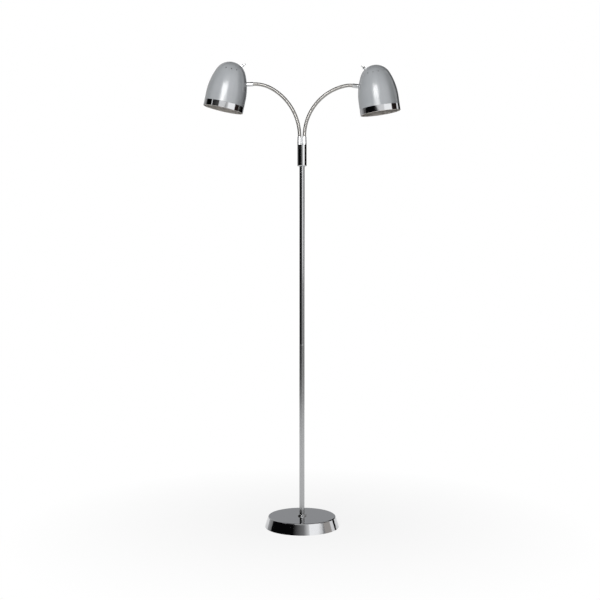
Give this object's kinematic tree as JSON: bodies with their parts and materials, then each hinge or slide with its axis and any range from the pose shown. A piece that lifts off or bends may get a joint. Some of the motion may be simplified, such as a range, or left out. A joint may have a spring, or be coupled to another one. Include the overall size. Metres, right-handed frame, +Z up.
{
  "type": "twin-head gooseneck floor lamp",
  "caption": "Floor lamp with a round weighted foot, slim two-piece pole and egg-shaped reading heads on flexible necks, each with a toggle switch.",
  "frame": {"origin": "centre of the foot's flat underside, on the floor and on the pole's axis", "axes": "+Z up along the pole; +X to the right-hand head as seen from the front; +Y to the rear, where the cord leaves the foot"},
  "size_m": [0.6019, 0.2299, 1.4324],
  "materials": {
    "polished_chrome": "polished",
    "neck_steel": "satin",
    "grey_lacquer": "gloss",
    "zinc_steel": "satin",
    "cast_iron": "matte",
    "brass": "satin",
    "black_rubber": "matte",
    "foam_pad": "matte",
    "black_phenolic": "matte",
    "bulb_glass": "gloss",
    "switch_steel": "polished"
  },
  "bodies": {
    "stand": {"base_cover": "polished_chrome", "base_weight": "cast_iron", "base_pad": "foam_pad", "base_rod": "zinc_steel", "base_nut": "zinc_steel", "base_washer": "zinc_steel", "foot_collar": "polished_chrome", "cord_bush": "black_rubber", "foot_insert": "brass", "lower_pole": "polished_chrome", "pole_coupler": "polished_chrome", "upper_pole": "polished_chrome", "top_insert": "brass", "sleeve_rod": "zinc_steel", "sleeve_nut": "zinc_steel", "junction_sleeve": "polished_chrome", "sleeve_cap": "polished_chrome", "left_neck_ferrule": "polished_chrome", "left_ferrule_nut": "zinc_steel", "left_neck_link_1": "neck_steel", "right_neck_ferrule": "polished_chrome", "right_ferrule_nut": "zinc_steel", "right_neck_link_1": "neck_steel"},
    "left_link_2": {"left_neck_link_2": "neck_steel"},
    "left_link_3": {"left_neck_link_3": "neck_steel"},
    "left_link_4": {"left_neck_link_4": "neck_steel"},
    "left_link_5": {"left_neck_link_5": "neck_steel"},
    "left_link_6": {"left_neck_link_6": "neck_steel"},
    "left_head": {"left_neck_link_7": "neck_steel", "left_head_ferrule": "polished_chrome", "left_head_nut": "zinc_steel", "left_shade": "grey_lacquer", "left_trim_band": "polished_chrome", "left_bracket": "zinc_steel", "left_lamp_holder": "black_phenolic", "left_holder_nut": "zinc_steel", "left_bulb": "bulb_glass", "left_switch_body": "black_phenolic", "left_switch_bushing": "switch_steel", "left_switch_nut": "switch_steel"},
    "left_lever": {"left_switch_lever": "switch_steel"},
    "right_link_2": {"right_neck_link_2": "neck_steel"},
    "right_link_3": {"right_neck_link_3": "neck_steel"},
    "right_link_4": {"right_neck_link_4": "neck_steel"},
    "right_link_5": {"right_neck_link_5": "neck_steel"},
    "right_link_6": {"right_neck_link_6": "neck_steel"},
    "right_head": {"right_neck_link_7": "neck_steel", "right_head_ferrule": "polished_chrome", "right_head_nut": "zinc_steel", "right_shade": "grey_lacquer", "right_trim_band": "polished_chrome", "right_bracket": "zinc_steel", "right_lamp_holder": "black_phenolic", "right_holder_nut": "zinc_steel", "right_bulb": "bulb_glass", "right_switch_body": "black_phenolic", "right_switch_bushing": "switch_steel", "right_switch_nut": "switch_steel"},
    "right_lever": {"right_switch_lever": "switch_steel"}
  },
  "joints": [
    {"name": "left_neck_bend_1", "type": "hinge", "parent": "stand", "child": "left_link_2", "pos_m": [-0.01069, 0, 1.23949], "axis": [0, -1, 0], "range_deg": [-15, 15]},
    {"name": "left_neck_sway_1", "type": "hinge", "parent": "left_link_2", "child": "left_link_3", "pos_m": [-0.02073, 0, 1.27161], "axis": [0.9196, 0, 0.3929], "range_deg": [-12, 12]},
    {"name": "left_neck_bend_2", "type": "hinge", "parent": "left_link_3", "child": "left_link_4", "pos_m": [-0.037, 0, 1.30107], "axis": [0, -1, 0], "range_deg": [-15, 15]},
    {"name": "left_neck_bend_3", "type": "hinge", "parent": "left_link_4", "child": "left_link_5", "pos_m": [-0.05886, 0, 1.32667], "axis": [0, -1, 0], "range_deg": [-15, 15]},
    {"name": "left_neck_sway_2", "type": "hinge", "parent": "left_link_5", "child": "left_link_6", "pos_m": [-0.0854, 0, 1.34737], "axis": [0.5324, 0, 0.8465], "range_deg": [-12, 12]},
    {"name": "left_neck_bend_4", "type": "hinge", "parent": "left_link_6", "child": "left_head", "pos_m": [-0.11599, 0, 1.36123], "axis": [0, -1, 0], "range_deg": [-15, 15]},
    {"name": "left_switch_throw", "type": "hinge", "parent": "left_head", "child": "left_lever", "pos_m": [-0.18264, 0, 1.41929], "axis": [0, -1, 0], "range_deg": [0, 26]},
    {"name": "right_neck_bend_1", "type": "hinge", "parent": "stand", "child": "right_link_2", "pos_m": [0.01091, 0, 1.23946], "axis": [0, 1, 0], "range_deg": [-15, 15]},
    {"name": "right_neck_sway_1", "type": "hinge", "parent": "right_link_2", "child": "right_link_3", "pos_m": [0.02156, 0, 1.27137], "axis": [0.9092, 0, -0.4164], "range_deg": [-12, 12]},
    {"name": "right_neck_bend_2", "type": "hinge", "parent": "right_link_3", "child": "right_link_4", "pos_m": [0.03877, 0, 1.30029], "axis": [0, 1, 0], "range_deg": [-15, 15]},
    {"name": "right_neck_bend_3", "type": "hinge", "parent": "right_link_4", "child": "right_link_5", "pos_m": [0.06174, 0, 1.32488], "axis": [0, 1, 0], "range_deg": [-15, 15]},
    {"name": "right_neck_sway_2", "type": "hinge", "parent": "right_link_5", "child": "right_link_6", "pos_m": [0.08943, 0, 1.344], "axis": [0.4769, 0, -0.879], "range_deg": [-12, 12]},
    {"name": "right_neck_bend_4", "type": "hinge", "parent": "right_link_6", "child": "right_head", "pos_m": [0.12056, 0, 1.35678], "axis": [0, 1, 0], "range_deg": [-15, 15]},
    {"name": "right_switch_throw", "type": "hinge", "parent": "right_head", "child": "right_lever", "pos_m": [0.1908, 0, 1.41254], "axis": [0, 1, 0], "range_deg": [0, 26]}
  ],
  "couplings": [
    {"joint": "left_neck_bend_2", "follows": "left_neck_bend_1", "ratio": 1},
    {"joint": "left_neck_bend_4", "follows": "left_neck_bend_3", "ratio": 1},
    {"joint": "left_neck_sway_2", "follows": "left_neck_sway_1", "ratio": 1},
    {"joint": "right_neck_bend_2", "follows": "right_neck_bend_1", "ratio": 1},
    {"joint": "right_neck_bend_4", "follows": "right_neck_bend_3", "ratio": 1},
    {"joint": "right_neck_sway_2", "follows": "right_neck_sway_1", "ratio": 1}
  ]
}
